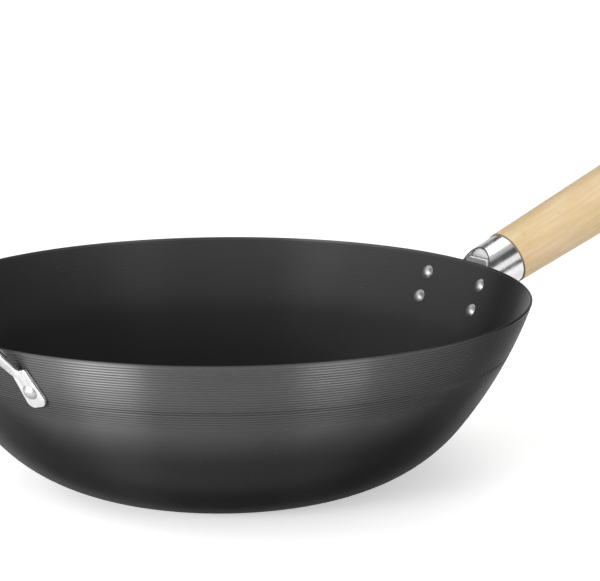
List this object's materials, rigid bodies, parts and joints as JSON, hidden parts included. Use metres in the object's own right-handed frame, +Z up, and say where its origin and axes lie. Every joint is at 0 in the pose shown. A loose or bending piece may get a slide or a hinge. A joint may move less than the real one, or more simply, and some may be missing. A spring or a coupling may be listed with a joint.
{
  "type": "wok",
  "caption": "Flat-bottomed round wok of turned dark steel with a riveted wooden long handle ending in a hanging eye, and a bent rod helper handle opposite.",
  "frame": {"origin": "centre of the underside of the flat base", "axes": "+Z up through the bowl's axis, +X outward along the wooden handle, helper handle toward -X"},
  "size_m": [0.5839, 0.3298, 0.1756],
  "materials": {
    "bowl_steel": "dark charcoal satin skin over turned carbon steel, fine turning grooves below the rim outside",
    "bracket_steel": "pressed steel, satin, grey",
    "ferrule_chrome": "polished bright plating",
    "handle_wood": "pale honey-coloured hardwood, lightly varnished, grain along the handle",
    "fitting_steel": "bright plated steel",
    "rivet_steel": "satin silver, domed",
    "helper_steel": "polished rod with brushed pressed ends"
  },
  "bodies": {
    "root": {"bowl": "bowl_steel", "handle_bracket": "bracket_steel", "ferrule": "ferrule_chrome", "ferrule_disc": "fitting_steel", "bolt_nut": "fitting_steel", "wooden_handle": "handle_wood", "end_cap": "fitting_steel", "eye_bolt": "fitting_steel", "handle_rivet_upper_right": "rivet_steel", "handle_rivet_upper_left": "rivet_steel", "handle_rivet_lower_right": "rivet_steel", "handle_rivet_lower_left": "rivet_steel", "helper_handle": "helper_steel", "helper_rivet_left": "rivet_steel", "helper_rivet_right": "rivet_steel"}
  },
  "joints": []
}
